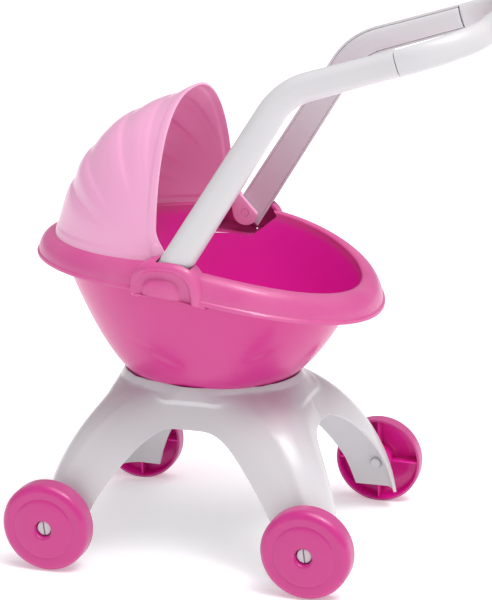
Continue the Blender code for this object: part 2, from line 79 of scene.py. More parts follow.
# %% Camera
CAMERA_AZIMUTH, CAMERA_HEIGHT, CAMERA_TILT = radians(18.45), radians(16.5), radians(-1.2)
CAMERA_DISTANCE = 2.3337
LENS = 141.5
target = Vector((MIDDLE_X + 32.8 * MM, 0, 249.4 * MM))


def look_at(target, azimuth, height, tilt, distance):
    """The camera's matrix: azimuth 0 looks along +Y, and height is the angle above the horizon."""
    back = Vector((sin(azimuth) * cos(height), -cos(azimuth) * cos(height), sin(height)))
    right = Vector((cos(azimuth), sin(azimuth), 0))
    up = back.cross(right)
    tilted_right = right * cos(tilt) + up * sin(tilt)
    tilted_up = up * cos(tilt) - right * sin(tilt)
    matrix = Matrix((tilted_right, tilted_up, back)).transposed().to_4x4()
    matrix.translation = target + back * distance
    return matrix


camera_data = bpy.data.cameras.new("camera")
camera_data.lens = LENS
camera_data.clip_end = 60
camera = bpy.data.objects.new("camera", camera_data)
camera.matrix_world = look_at(target, CAMERA_AZIMUTH, CAMERA_HEIGHT, CAMERA_TILT, CAMERA_DISTANCE)
bpy.context.scene.collection.objects.link(camera)
bpy.context.scene.camera = camera
print("camera stands", round(CAMERA_DISTANCE, 2), "m from the stroller")

# %% [markdown]
# # Plastics
# Injection-moulded plastic is never quite one colour. The melt flows in soft streaks, the steel mould
# leaves a very fine grain, and use adds hair-line scratches. Every part shares these effects, so they are
# one node group. It puts out a colour, a roughness and a height, and each material feeds those to its own
# shader.

# %% The moulded-plastic node group


def group_socket(group, name, kind, default=None, is_output=False):
    way = "OUTPUT" if is_output else "INPUT"
    socket = group.interface.new_socket(name=name, in_out=way, socket_type="NodeSocket" + kind)
    if default is not None:
        socket.default_value = default


def add_node(tree, kind, **settings):
    node = tree.nodes.new("ShaderNode" + kind)
    for key, value in settings.items():
        setattr(node, key, value)
    return node


def link(tree, source, target):
    tree.links.new(source, target)


def math_node(tree, operation, first, second):
    """A Math node whose inputs are sockets or plain numbers."""
    node = add_node(tree, "Math", operation=operation)
    for slot, value in enumerate((first, second)):
        if isinstance(value, (int, float)):
            node.inputs[slot].default_value = value
        else:
            link(tree, value, node.inputs[slot])
    return node.outputs[0]


def ranged(tree, value, low, high, new_low, new_high):
    node = add_node(tree, "MapRange", interpolation_type="SMOOTHSTEP")
    link(tree, value, node.inputs["Value"])
    for name, number in (("From Min", low), ("From Max", high), ("To Min", new_low), ("To Max", new_high)):
        node.inputs[name].default_value = number
    return node.outputs[0]


def noise(tree, place, scale, detail=2.0, distortion=0.0):
    node = add_node(tree, "TexNoise")
    node.inputs["Scale"].default_value = scale
    node.inputs["Detail"].default_value = detail
    node.inputs["Distortion"].default_value = distortion
    link(tree, place, node.inputs["Vector"])
    return node.outputs["Fac"]


def colour_inputs(node):
    """The two colour sockets of a Mix node set to RGBA, which share their names with other types."""
    return [socket for socket in node.inputs if socket.type == "RGBA"]


def blend_colours(tree, share, first, second):
    node = add_node(tree, "Mix", data_type="RGBA", clamp_factor=True)
    if isinstance(share, (int, float)):
        node.inputs[0].default_value = share
    else:
        link(tree, share, node.inputs[0])
    for socket, value in zip(colour_inputs(node), (first, second)):
        if isinstance(value, tuple):
            socket.default_value = value
        else:
            link(tree, value, socket)
    return [socket for socket in node.outputs if socket.type == "RGBA"][0]


def make_plastic_group():
    group = bpy.data.node_groups.new("moulded_plastic", "ShaderNodeTree")
    group_socket(group, "Colour", "Color", (0.8, 0.8, 0.8, 1))
    group_socket(group, "Streak Colour", "Color", (0.7, 0.7, 0.7, 1))
    group_socket(group, "Worn And Sheen Colour", "Color", (0.9, 0.9, 0.9, 1))
    group_socket(group, "Roughness", "Float", 0.3)
    group_socket(group, "Wear And Sheen", "Float", 0.0)
    group_socket(group, "Colour", "Color", is_output=True)
    group_socket(group, "Roughness", "Float", is_output=True)
    group_socket(group, "Height", "Float", is_output=True)
    start, end = group.nodes.new("NodeGroupInput"), group.nodes.new("NodeGroupOutput")
    place = add_node(group, "TexCoord").outputs["Object"]

    flow = add_node(group, "Mapping")
    flow.inputs["Scale"].default_value = (7, 7, 16)
    link(group, place, flow.inputs["Vector"])
    streaks = ranged(group, noise(group, flow.outputs[0], 1.0, 2.0), 0.2, 0.85, 0.0, 0.8)
    colour = blend_colours(group, streaks, start.outputs["Colour"], start.outputs["Streak Colour"])

    scratch_place = add_node(group, "Mapping")
    scratch_place.inputs["Rotation"].default_value = (0.5, 0.3, 0.7)
    scratch_place.inputs["Scale"].default_value = (900, 24, 260)
    link(group, place, scratch_place.inputs["Vector"])
    scratches = ranged(group, noise(group, scratch_place.outputs[0], 1.0, 1.0), 0.68, 0.78, 0.0, 1.0)
    patches = ranged(group, noise(group, place, 22.0, 4.0), 0.15, 0.85, 0.4, 1.0)
    wear_and_sheen_patches = math_node(group, "MULTIPLY", patches, start.outputs["Wear And Sheen"])
    rubbed = math_node(group, "MULTIPLY", scratches, wear_and_sheen_patches)
    # This blend paints real wear on most parts, a painted sheen on the tub's rim and a paler opening edge on
    # the hood.
    colour = blend_colours(group, math_node(group, "MULTIPLY", wear_and_sheen_patches, 0.6), colour,
                           start.outputs["Worn And Sheen Colour"])

    cloudy = ranged(group, noise(group, place, 14.0, 3.0), 0.15, 0.85, -0.05, 0.06)
    rough = math_node(group, "ADD", start.outputs["Roughness"], cloudy)
    rough = math_node(group, "ADD", rough, math_node(group, "MULTIPLY", wear_and_sheen_patches, 0.22))
    rough = math_node(group, "ADD", rough, math_node(group, "MULTIPLY", rubbed, 0.25))

    grain = math_node(group, "MULTIPLY", noise(group, place, 1400.0, 1.0), 0.35)
    ripple = math_node(group, "MULTIPLY", noise(group, place, 60.0, 2.0), 0.65)
    height = math_node(group, "SUBTRACT", math_node(group, "ADD", grain, ripple),
                       math_node(group, "MULTIPLY", rubbed, 0.3))
    link(group, colour, end.inputs["Colour"])
    link(group, rough, end.inputs["Roughness"])
    link(group, height, end.inputs["Height"])
    return group


plastic_group = make_plastic_group()
print("plastic group has", len(plastic_group.nodes), "nodes")

# %% [markdown]
# Each plastic is a Principled shader with the group in front of it. The pinks are saturated, so a thin
# clear coat makes them look like solid, slightly waxy polypropylene and not like paint. Parts carry a value
# from 0 to 1 on their points for wear and painted sheen: real rubbing where they touch the floor or the hand,
# a painted sheen on the tub's rim, and a paler opening edge on the hood. A second value marks the inside of a
# hollow, where the colour is painted deeper and more saturated: painted bounce light and shade.

# %% Plastic materials


COAT, COAT_ROUGHNESS, BUMP = 0.35, 0.15, 0.03


def plastic(name, colour, streak, worn_and_sheen, roughness, painted_bounce=None):
    """One moulded plastic; its colour inside a hollow is a painted bounce light and shade, deeper where light
    bounces from wall to wall.
    """
    material = bpy.data.materials.new(name)
    material.use_nodes = True
    tree = material.node_tree
    shader = tree.nodes["Principled BSDF"]
    shader.inputs["IOR"].default_value = 1.49
    shader.inputs["Coat Weight"].default_value = COAT
    shader.inputs["Coat Roughness"].default_value = COAT_ROUGHNESS
    effect = tree.nodes.new("ShaderNodeGroup")
    effect.node_tree = plastic_group
    effect.inputs["Worn And Sheen Colour"].default_value = (*worn_and_sheen, 1)
    effect.inputs["Roughness"].default_value = roughness
    # Towards the inside of a hollow the colour blends to a deeper pink: painted bounce light and shade.
    depth = add_node(tree, "Attribute", attribute_name="painted_bounce")
    for socket, outside in (("Colour", colour), ("Streak Colour", streak)):
        inside = (*(painted_bounce or outside), 1)
        link(tree, blend_colours(tree, depth.outputs["Fac"], (*outside, 1), inside), effect.inputs[socket])
    wear_and_sheen = add_node(tree, "Attribute", attribute_name="wear_and_sheen")
    link(tree, wear_and_sheen.outputs["Fac"], effect.inputs["Wear And Sheen"])
    link(tree, effect.outputs["Colour"], shader.inputs["Base Color"])
    link(tree, effect.outputs["Roughness"], shader.inputs["Roughness"])
    bumps = add_node(tree, "Bump")
    bumps.inputs["Strength"].default_value = BUMP
    bumps.inputs["Distance"].default_value = 1 * MM
    link(tree, effect.outputs["Height"], bumps.inputs["Height"])
    link(tree, bumps.outputs["Normal"], shader.inputs["Normal"])
    return material


white = plastic("white_plastic", (0.67, 0.655, 0.675), (0.64, 0.625, 0.65), (0.57, 0.55, 0.55), 0.34)
# The tub's and the wheels' deeper inside colours are painted bounce light and shade in their hollows.
tub_pink = plastic("pink_plastic", (0.61, 0.025, 0.25), (0.575, 0.02, 0.225), (0.74, 0.27, 0.45), 0.35,
                   painted_bounce=(0.73, 0.007, 0.355))
wheel_pink = plastic("wheel_plastic", (0.57, 0.024, 0.235), (0.54, 0.02, 0.215), (0.50, 0.10, 0.27), 0.35,
                     painted_bounce=(0.84, 0.01, 0.38))
pale_pink = plastic("pale_pink_plastic", (0.86, 0.39, 0.62), (0.83, 0.36, 0.595), (0.88, 0.60, 0.74), 0.36)
# The hood's inner faces get a deeper, more saturated copy of its pink: painted bounce light and shade inside
# the hood.
hood_painted_bounce_pink = plastic("pale_pink_painted_bounce", (0.93, 0.05, 0.38), (0.90, 0.042, 0.355), (0.86, 0.35, 0.55),
                      0.36)
print("plastics:", white.name, tub_pink.name, wheel_pink.name, pale_pink.name, hood_painted_bounce_pink.name)

# %% [markdown]
# The screws under the base are zinc-plated steel: bright, a little uneven, and brushed round by the tool
# that made them.

# %% Screw steel


def screw_steel():
    material = bpy.data.materials.new("zinc_steel")
    material.use_nodes = True
    tree = material.node_tree
    shader = tree.nodes["Principled BSDF"]
    shader.inputs["Metallic"].default_value = 1.0
    place = add_node(tree, "TexCoord").outputs["Object"]
    cloud = noise(tree, place, 300.0, 4.0)
    colour = blend_colours(tree, cloud, (0.50, 0.50, 0.53, 1), (0.66, 0.65, 0.62, 1))
    link(tree, colour, shader.inputs["Base Color"])
    link(tree, ranged(tree, noise(tree, place, 900.0, 2.0), 0.3, 0.7, 0.28, 0.45), shader.inputs["Roughness"])
    return material


steel = screw_steel()
print("made", steel.name)

# %% [markdown]
# # Shared modelling helpers
# Most parts are thin moulded walls. Each one starts as a flat grid, wrapped into its place by a function of
# two values: how far along the grid, and how far across. Solidify then gives the wall its thickness, and a
# small Bevel rounds its free edges, as a mould has to. The modifiers are applied, so that a later cut stays
# exact.

# %% Helpers for walls and finished pieces


def wrapped_grid(columns, rows, place, closed=True):
    """A grid wrapped into an open sheet: place(across, along), both from 0 to 1, gives each point."""
    bm = bmesh.new()
    bmesh.ops.create_grid(bm, x_segments=columns, y_segments=rows, size=0.5)
    for vert in bm.verts:
        vert.co = place(vert.co.x + 0.5, vert.co.y + 0.5)
    if closed:
        bmesh.ops.remove_doubles(bm, verts=bm.verts, dist=0.01 * MM)
    return bm


def face_towards(bm, direction):
    """Makes an open sheet's faces agree, with the one furthest along direction looking that way."""
    bmesh.ops.recalc_face_normals(bm, faces=bm.faces)
    bm.normal_update()
    direction = Vector(direction)
    extreme = max(bm.faces, key=lambda face: face.calc_center_median().dot(direction))
    if extreme.normal.dot(direction) < 0:
        bmesh.ops.reverse_faces(bm, faces=bm.faces)


def block(low, high):
    bm = bmesh.new()
    bmesh.ops.create_cube(bm, size=1)
    bmesh.ops.scale(bm, vec=Vector(high) - Vector(low), verts=bm.verts)
    bmesh.ops.translate(bm, vec=(Vector(high) + Vector(low)) / 2, verts=bm.verts)
    return bm


def rod(radius, start_y, end_y, x, z, segments=48):
    """A round bar along Y."""
    bm = bmesh.new()
    turn = Matrix.Translation((x, (start_y + end_y) / 2, z)) @ Matrix.Rotation(radians(90), 4, "X")
    bmesh.ops.create_cone(bm, cap_ends=True, segments=segments, radius1=radius, radius2=radius,
                          depth=abs(end_y - start_y), matrix=turn)
    return bm


SHARP_EDGE = radians(40)


def rounded(bm, width, segments=3):
    """Bevels every sharp edge."""
    bm.normal_update()
    edges = [edge for edge in bm.edges if edge.is_manifold and edge.calc_face_angle() > SHARP_EDGE]
    bmesh.ops.bevel(bm, geom=edges, offset=width, offset_type="OFFSET", affect="EDGES", segments=segments,
                    profile=0.5, material=-1)
    return bm


def to_object(name, bm):
    """Puts a mesh into the scene, moved from the middle of the wheelbase to its place in the frame."""
    bmesh.ops.translate(bm, vec=(MIDDLE_X, 0, 0), verts=bm.verts)
    mesh = bpy.data.meshes.new(name)
    bm.to_mesh(mesh)
    bm.free()
    piece = bpy.data.objects.new(name, mesh)
    bpy.context.scene.collection.objects.link(piece)
    return piece


def apply_modifiers(piece):
    graph = bpy.context.evaluated_depsgraph_get()
    old = piece.data
    mesh = bpy.data.meshes.new_from_object(piece.evaluated_get(graph))
    piece.modifiers.clear()
    piece.data = mesh
    mesh.name = piece.name
    bpy.data.meshes.remove(old)


def thicken(piece, wall, edge_width=0.6 * MM, inner_material=0):
    solid = piece.modifiers.new("Wall", "SOLIDIFY")
    solid.thickness = wall
    solid.offset = -1
    solid.use_even_offset = True
    solid.material_offset = inner_material
    if edge_width:
        soft = piece.modifiers.new("Soft edges", "BEVEL")
        soft.width = edge_width
        soft.segments = 2
        soft.limit_method = "ANGLE"
        soft.angle_limit = radians(50)
    apply_modifiers(piece)


def combine(piece, bm, operation):
    """Adds or cuts another solid: operation is UNION or DIFFERENCE."""
    other = to_object("tool", bm)
    modifier = piece.modifiers.new("Combine", "BOOLEAN")
    modifier.operation = operation
    modifier.solver = "MANIFOLD"
    modifier.object = other
    apply_modifiers(piece)
    bpy.data.meshes.remove(other.data)


def set_amount(piece, name, amount_at):
    """Stores a value from 0 to 1 on each point, as an attribute that the plastics read."""
    middle = Vector((MIDDLE_X, 0, 0))
    values = [min(max(amount_at(vert.co - middle, vert.normal), 0), 1) for vert in piece.data.vertices]
    attribute = piece.data.attributes.new(name, "FLOAT", "POINT")
    attribute.data.foreach_set("value", values)


def finish(piece, body, materials, replaced, wear_and_sheen_at=None, painted_bounce_at=None, crease=40):
    """Shades a piece, gives it its plastic, its values for wear and painted sheen and for painted bounce
    light and shade, and ties it to its body and CAD nodes.
    """
    piece.data.materials.clear()
    for material in materials:
        piece.data.materials.append(material)
    piece.data.shade_smooth()
    piece.data.set_sharp_from_angle(angle=radians(crease))
    for attribute, amount_at in (("wear_and_sheen", wear_and_sheen_at), ("painted_bounce", painted_bounce_at)):
        if amount_at:
            set_amount(piece, attribute, amount_at)
    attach(piece, body)
    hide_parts(*replaced)
    print(f"{piece.name}: {len(piece.data.polygons)} faces on {body}")


def smooth_step(value, low, high):
    share = min(max((value - low) / (high - low), 0), 1)
    return share * share * (3 - 2 * share)


# %% [markdown]
# # The tub
# The tub is one deep oval shell. Its floor is a small oval, its mouth a big one, egg-shaped because the
# front half is longer, and the wall between them is a power curve. At the mouth the wall rolls over into a
# broad rim that turns down into a flange with a thin bead along its lower edge. The rim is level under the
# hood and falls away towards the rear. A few shallow dents in the lower wall stiffen it, and one small slot
# at the rear lets air and water through.

# %% Tub: the formulas of its bowl and rim
TUB_WALL = 2.8 * MM
TUB_FLOOR_Z = 170 * MM
TUB_FLOOR, TUB_FLOOR_X = (64 * MM, 52 * MM), -6 * MM
MOUTH_X, MOUTH_FRONT, MOUTH_REAR, MOUTH_HALF_WIDTH = 24 * MM, 182 * MM, 123 * MM, 116.6 * MM
RIM_Z, RIM_LEVEL_X, RIM_FALL, RIM_FALL_POWER = 314.5 * MM, -30 * MM, 43.5 * MM, 1.63
BOWL_POWER = 1.75
FLANGE_REACH, FLANGE_DROP = 18 * MM, 24 * MM
FLANGE_FRONT, FLANGE_REAR = (2.5 * MM, -6 * MM), (4 * MM, 0)
# Each dent: turn round the bowl and height share of its middle, its half length and half width, lean, depth.
DENTS = ((-109, 0.52, 9, 0.034, -0.0052, 1.9 * MM), (-55, 0.62, 6.5, 0.034, 0.0075, 1.9 * MM),
         (109, 0.52, 9, 0.034, 0.0052, 1.9 * MM), (55, 0.62, 6.5, 0.034, -0.0075, 1.9 * MM))


def rim_height(x):
    share = max(x - RIM_LEVEL_X, 0) / (MOUTH_X + MOUTH_REAR - RIM_LEVEL_X)
    return RIM_Z - RIM_FALL * share ** RIM_FALL_POWER


def mouth_point(turn):
    reach = MOUTH_REAR if cos(turn) > 0 else MOUTH_FRONT
    point = Vector((MOUTH_X + reach * cos(turn), MOUTH_HALF_WIDTH * sin(turn), 0))
    outward = Vector((cos(turn) / reach, sin(turn) / MOUTH_HALF_WIDTH, 0)).normalized()
    return point, outward


def bowl_point(turn, share):
    edge = mouth_point(turn)[0]
    floor = Vector((TUB_FLOOR_X + TUB_FLOOR[0] * cos(turn), TUB_FLOOR[1] * sin(turn), 0))
    point = floor.lerp(edge, share)
    point.z = TUB_FLOOR_Z + (rim_height(edge.x) - TUB_FLOOR_Z) * share ** BOWL_POWER
    return point


def dent_depth(turn, share):
    depth = 0
    degrees = turn * 180 / pi
    for middle, height, half_length, half_width, lean, deepest in DENTS:
        along = (degrees - middle + 180) % 360 - 180
        across = share - height - lean * along
        steep = 1.0 if across < 0 else 3.0
        depth += deepest * exp(-(along / half_length) ** 2 - (steep * across / half_width) ** 2)
    return depth


def roll_section(share):
    """Rim section: how far out and how far down, as shares of the flange's reach and drop."""
    fillet, bead = 0.2, 0.85
    if share < fillet:
        turn = pi / 2 * share / fillet
        return 0.2 * (1 - cos(turn)), -0.13 * sin(turn)
    turn = pi / 2 * (share - fillet) / (1 - fillet)
    out = 0.2 + 0.8 * sin(turn) ** 1.06
    down = -0.13 + 1.13 * (1 - cos(turn)) ** 1.1
    return out + 0.08 * smooth_step(down, bead - 0.02, bead + 0.02), down


def tub_point(across, along):
    turn = 2 * pi * across
    floor_share, bowl_share = 0.05, 0.5
    if along <= floor_share:
        centre = Vector((TUB_FLOOR_X, 0, TUB_FLOOR_Z))
        return centre.lerp(bowl_point(turn, 0), along / floor_share)
    if along <= bowl_share:
        share = (along - floor_share) / (bowl_share - floor_share)
        point = bowl_point(turn, share)
        return point - mouth_point(turn)[1] * dent_depth(turn, share)
    edge, outward = mouth_point(turn)
    out, down = roll_section((along - bowl_share) / (1 - bowl_share))
    more_reach, more_drop = FLANGE_REAR if cos(turn) > 0 else FLANGE_FRONT
    point = edge + outward * (FLANGE_REACH + more_reach * cos(turn) ** 2) * out
    point.z = rim_height(edge.x) - (FLANGE_DROP + more_drop * cos(turn) ** 2) * down
    return point


bm = wrapped_grid(240, 130, tub_point)
face_towards(bm, (-1, 0, 0))
tub = to_object("tub_shell", bm)
thicken(tub, TUB_WALL)
print("tub wall made,", len(tub.data.polygons), "faces")

# %% [markdown]
# On each side a rounded housing grows out of the rim. It takes the foot of the handle and the hood's ear.
# Seen from outside it is a set of arches, one inside another: a broad lip, a ring-shaped recess, and a half
# dome in the middle. So it is lofted from arches that all stand on one sloping line, each with its own half
# width, height and distance from the stroller's middle.

# %% Tub: housings for the handle and the hood's ears
HOUSING_TOP_Z, HOUSING_WALL = 324 * MM, 3 * MM
POCKET_SLOPE, POCKET_CORNER, POCKET_OUTER_Y = 0.8, (8 * MM, 0, 288 * MM), 134.3
# Each arch, in millimetres: its middle along X, half width, height and distance from the stroller's middle.
ARCHES = ((-1.5, 37, 40, 119.0), (-1.5, 37, 40, 123.5), (-1.6, 36.6, 39.4, 129), (-1.9, 35.6, 38.0, 133.5),
          (-2.3, 34.2, 36.2, 136.8), (-2.8, 32.4, 34.0, 138.9), (-3.2, 30.8, 32.2, 139.7),
          (-3.5, 29.5, 30.8, 139.5), (-3.8, 28.5, 29.7, 138.6), (-4.0, 27.6, 28.7, 137.2),
          (-4.3, 26.5, 27.5, 136.2), (-4.8, 24.6, 25.2, 135.7), (-5.4, 21.8, 22.0, 135.5),
          (-5.8, 19.8, 19.7, 135.8), (-6.0, 18.8, 18.6, 136.7), (-6.1, 17.6, 17.4, 137.8),
          (-6.2, 15.6, 15.4, 138.6), (-6.4, 11.6, 11.4, 139.2), (-6.4, 6, 6, 139.5),
          (-6.4, 0.02, 0.02, 139.6))


def housing_foot_z(x, y):
    """The flange's lower edge outside, and a little lower towards the bowl's wall."""
    return rim_height(x) - FLANGE_DROP - 0.6 * MM - 6 * MM * (1 - smooth_step(y, 124 * MM, 134 * MM))


def arch_outline(across, half, height, power=0.72):
    """One arch and the foot line that closes it, as X and height."""
    if across < 0.75:
        turn = pi * across / 0.75
        side = 1 if cos(turn) > 0 else -1
        return half * side * abs(cos(turn)) ** power, height * sin(turn) ** power
    return half * (8 * (across - 0.75) - 1), 0


def housing_solid(side, arches, foot_z):
    """A closed solid lofted through the arches, with its crown at the housing's own height."""

    def place(across, along):
        level = min(int(along * (len(arches) - 1) + 0.001), len(arches) - 2)
        share = along * (len(arches) - 1) - level
        middle, half, height, y = [a + (b - a) * share for a, b in zip(arches[level], arches[level + 1])]
        offset, rise = arch_outline(across, half * MM, height * MM)
        x = middle * MM + offset
        low = foot_z(x, y * MM)
        merged = smooth_step(-x, 18 * MM, 37 * MM)
        y += (min(y, 134.6) - y) * merged
        return Vector((x, side * y * MM, low + rise * (HOUSING_TOP_Z - low) / (ARCHES[0][2] * MM)))

    bm = wrapped_grid(96, 2 * (len(arches) - 1), place)
    bmesh.ops.holes_fill(bm, edges=[edge for edge in bm.edges if edge.is_boundary])
    bmesh.ops.recalc_face_normals(bm, faces=bm.faces)
    return bm


def pocket_solid(side):
    """The hollow inside a housing, open towards the inside of the tub."""
    middle, half, height = ARCHES[0][0], ARCHES[0][1] - HOUSING_WALL / MM, ARCHES[0][2] - HOUSING_WALL / MM
    levels = [(middle, half, height, y) for y in (98, 124, 126, 128, 130, 132, POCKET_OUTER_Y)]
    bm = housing_solid(side, levels, lambda x, y: housing_foot_z(x, y) + HOUSING_WALL)
    everything = bm.verts[:] + bm.edges[:] + bm.faces[:]
    bmesh.ops.bisect_plane(bm, geom=everything, plane_co=POCKET_CORNER, plane_no=(POCKET_SLOPE, 0, -1),
                           clear_outer=True)
    bmesh.ops.holes_fill(bm, edges=[edge for edge in bm.edges if edge.is_boundary])
    bmesh.ops.recalc_face_normals(bm, faces=bm.faces)
    return bm


ARM_FOOT, ARM_ANGLE = Vector((-7.5 * MM, 298.6 * MM)), radians(56.9)
ARM_INNER_Y, ARM_OUTER_Y = 119.9 * MM, 133.9 * MM
ARM_WIDTHS, ARM_GAP = (31 * MM, 25.5 * MM), 0.5 * MM


def arm_passage(side):
    """The slot in the housing's roof that the foot of the arm passes through."""
    half = ARM_WIDTHS[0] / 2 + ARM_GAP
    low, high = (-half, ARM_INNER_Y - 8 * MM, -5 * MM), (half, ARM_OUTER_Y + 0.3 * MM, 60 * MM)
    bm = rounded(block(low, high), 2 * MM)
    lean = Matrix.Rotation(pi / 2 - ARM_ANGLE, 4, "Y")
    place = Matrix.Translation((ARM_FOOT.x, 0, ARM_FOOT.y)) @ lean
    bmesh.ops.transform(bm, matrix=place, verts=bm.verts)
    if side < 0:
        bmesh.ops.scale(bm, vec=(1, -1, 1), verts=bm.verts)
        bmesh.ops.recalc_face_normals(bm, faces=bm.faces)
    return bm


VENT_HALF, VENT_TURN, VENT_SHARE, VENT_LEAN = Vector((5, 4.2, 7)) * MM, radians(11), 0.45, radians(38)


def vent_solid():
    """The small slot in the rear of the bowl."""
    bm = rounded(block(-VENT_HALF, VENT_HALF), 2 * MM)
    lean = Matrix.Rotation(VENT_TURN, 4, "Z") @ Matrix.Rotation(VENT_LEAN, 4, "Y")
    place = Matrix.Translation(bowl_point(VENT_TURN, VENT_SHARE)) @ lean
    bmesh.ops.transform(bm, matrix=place, verts=bm.verts)
    return bm


combine(tub, vent_solid(), "DIFFERENCE")
for side in (-1, 1):
    combine(tub, housing_solid(side, ARCHES, housing_foot_z), "UNION")
    combine(tub, pocket_solid(side), "DIFFERENCE")
    combine(tub, arm_passage(side), "DIFFERENCE")


def tub_painted_bounce(at, normal):
    """Painted bounce light and shade: 1 on the inside of the bowl and of the housings, fading out at the rim.
    """
    inward = Vector((MOUTH_X - at.x, -at.y, 0)).normalized()
    facing_in = smooth_step(normal.dot(inward) * 0.8 + normal.z * 0.6, 0.1, 0.4)
    below_rim = 1 - smooth_step(at.z - rim_height(at.x), -9 * MM, -2 * MM)
    in_pocket = smooth_step(normal.dot(inward), 0.5, 0.7) * (abs(at.y) > 119 * MM)
    return max(facing_in * below_rim * (abs(at.y) < 122 * MM), in_pocket)


def rim_painted_sheen(at, normal):
    """The rolled rim is painted paler, a painted sheen, and made rougher: everything outside the mouth of the
    bowl.
    """
    turn = atan2(at.y / MOUTH_HALF_WIDTH, (at.x - MOUTH_X) / (MOUTH_REAR if at.x > MOUTH_X else MOUTH_FRONT))
    edge = mouth_point(turn)[0]
    out = Vector((at.x - MOUTH_X, at.y)).length - Vector((edge.x - MOUTH_X, edge.y)).length
    return 0.62 * smooth_step(out, -3 * MM, 2 * MM)


finish(tub, "chassis", [tub_pink], ["tub"], rim_painted_sheen, tub_painted_bounce, crease=38)

# %% [markdown]
# # The hood
# The hood is a quarter of a dome, moulded to look like a folded cloth hood. Its folds are valleys that fan
# out from the two pivots, so each one keeps a constant angle round the pivot line. A smooth, slightly
# raised band runs along the opening and along the foot, and one rounded ear on each side reaches down into
# the housing.

# %% Hood: shell with folds, lip and foot band
HOOD_WALL = 2.2 * MM
HOOD_RADIUS, HOOD_HALF_WIDTH = 149 * MM, 118.8 * MM
HOOD_OPENING_X, HOOD_FOOT_Z = -17 * MM, 315.9 * MM
HOOD_LIP, HOOD_TAIL, HOOD_CORNER = 6.5 * MM, 9.5 * MM, 11 * MM
HOOD_ROUNDNESS = (2.35, 2.0)
LIP_BAND, FOOT_BAND, BAND_RISE = 14 * MM, 16 * MM, 0.9 * MM
# Each fold: angle round the pivot line in degrees, half width, depth, and how far it bends near the ears.
FOLDS = ((104, 2.6, 1.1 * MM, 6), (119, 2.8, 1.5 * MM, 5), (139.5, 3.0, 1.5 * MM, 0),
         (154, 3.0, 1.8 * MM, -7))


def fold_depth(angle, height):
    """Depth of the folds at an angle, fading towards the ears, where height runs from 0 to 1."""
    depth = 0
    for middle, half_width, deepest, bend in FOLDS:
        off = (angle - middle - bend * (1 - height) ** 2) / half_width
        valley = exp(-off * off * (3.0 if off > 0 else 0.35))
        puff = exp(-((off - 2.2) / 1.5) ** 2)
        depth += deepest * (valley - 0.45 * puff) * smooth_step(height, 0.42, 0.8)
    return depth


def hood_point(across, along):
    first, last = HOOD_ROUNDNESS
    power = 2 / (first + (last - first) * along)
    turn = pi * across
    height = abs(sin(turn)) ** power
    lip = HOOD_LIP * max(0, 1 - along / 0.16) ** 1.5
    tail = HOOD_TAIL * max(0, (along - 0.7) / 0.3) ** 2
    reach = (HOOD_RADIUS + lip + tail) * height
    opening_x = HOOD_OPENING_X + HOOD_CORNER * (1 - smooth_step(reach, 10 * MM, 42 * MM))
    start = acos(max(-1, (opening_x - PIVOT.x) / max(reach, MM)))
    swing = start + (pi - start) * along
    reach -= fold_depth(swing * 180 / pi, height)
    y = HOOD_HALF_WIDTH * (1 if cos(turn) > 0 else -1) * abs(cos(turn)) ** power
    point = Vector((PIVOT.x + reach * cos(swing), y, PIVOT.z + reach * sin(swing)))
    from_opening, from_foot = opening_x - point.x, point.z - HOOD_FOOT_Z
    near_opening, near_foot = max(1 - from_opening / LIP_BAND, 0), max(1 - from_foot / FOOT_BAND, 0)
    band = smooth_step((near_opening ** 2 + near_foot ** 2) ** 0.5, 0.32, 0.58)
    outward = Vector((point.x - PIVOT.x, point.y * 0.8, point.z - PIVOT.z)).normalized()
    return point + outward * BAND_RISE * (band - 1)


bm = wrapped_grid(200, 150, hood_point, closed=False)
bmesh.ops.remove_doubles(bm, verts=bm.verts, dist=0.01 * MM)
everything = bm.verts[:] + bm.edges[:] + bm.faces[:]
bmesh.ops.bisect_plane(bm, geom=everything, plane_co=(0, 0, HOOD_FOOT_Z), plane_no=(0, 0, -1),
                       clear_outer=True)
face_towards(bm, (0, 0, 1))
hood = to_object("hood_shell", bm)
hood.data.materials.append(pale_pink)
hood.data.materials.append(hood_painted_bounce_pink)
thicken(hood, HOOD_WALL, edge_width=0.7 * MM, inner_material=1)
print("hood shell made,", len(hood.data.polygons), "faces")

# %% [markdown]
# Each ear is a round disc drawn up and forward into the hood's corner, with soft edges and a bore for the
# pivot.

# %% Hood: ears
EAR_RADIUS, EAR_Y, PIVOT_RADIUS, PIVOT_GAP = 13.5 * MM, (113.8 * MM, 118.6 * MM), 4 * MM, 0.3 * MM
EAR_RISE, EAR_FORWARD = 22 * MM, -12 * MM


def ear_solid(side):
    low, high = EAR_Y
    bm = rod(EAR_RADIUS, side * low, side * high, 0, 0, segments=64)
    for vert in bm.verts:
        if vert.co.z > 0:
            vert.co = Vector((EAR_FORWARD + 0.35 * vert.co.x, vert.co.y, EAR_RISE + 0.35 * vert.co.z))
    bmesh.ops.translate(bm, vec=PIVOT, verts=bm.verts)
    return rounded(bm, 0.9 * MM)


for side in (-1, 1):
    combine(hood, ear_solid(side), "UNION")
    bore = rod(PIVOT_RADIUS + PIVOT_GAP, side * 108 * MM, side * 122 * MM, PIVOT.x, PIVOT.z)
    combine(hood, bore, "DIFFERENCE")
# The union keeps the shell's two material slots, and the ears take the outer one.
finish(hood, "hood", [pale_pink, hood_painted_bounce_pink], ["hood"],
       lambda at, normal: 0.4 * smooth_step(at.x, HOOD_OPENING_X - 3 * MM, HOOD_OPENING_X), crease=38)

# %% [markdown]
# # The base
# The base is the most sculpted part: a skirt that starts as a small ring under the tub, swells out into
# four legs, and is cut away by an arch between each two legs. A polar formula gives it: a plain oval that
# grows downwards, plus a rounded ridge at each leg. Along the arches runs a band that lies a few
# millimetres deeper, with a soft step at its upper side. The distance to an arch comes from the arch's own
# equation, so the band keeps its width on the steep legs too.

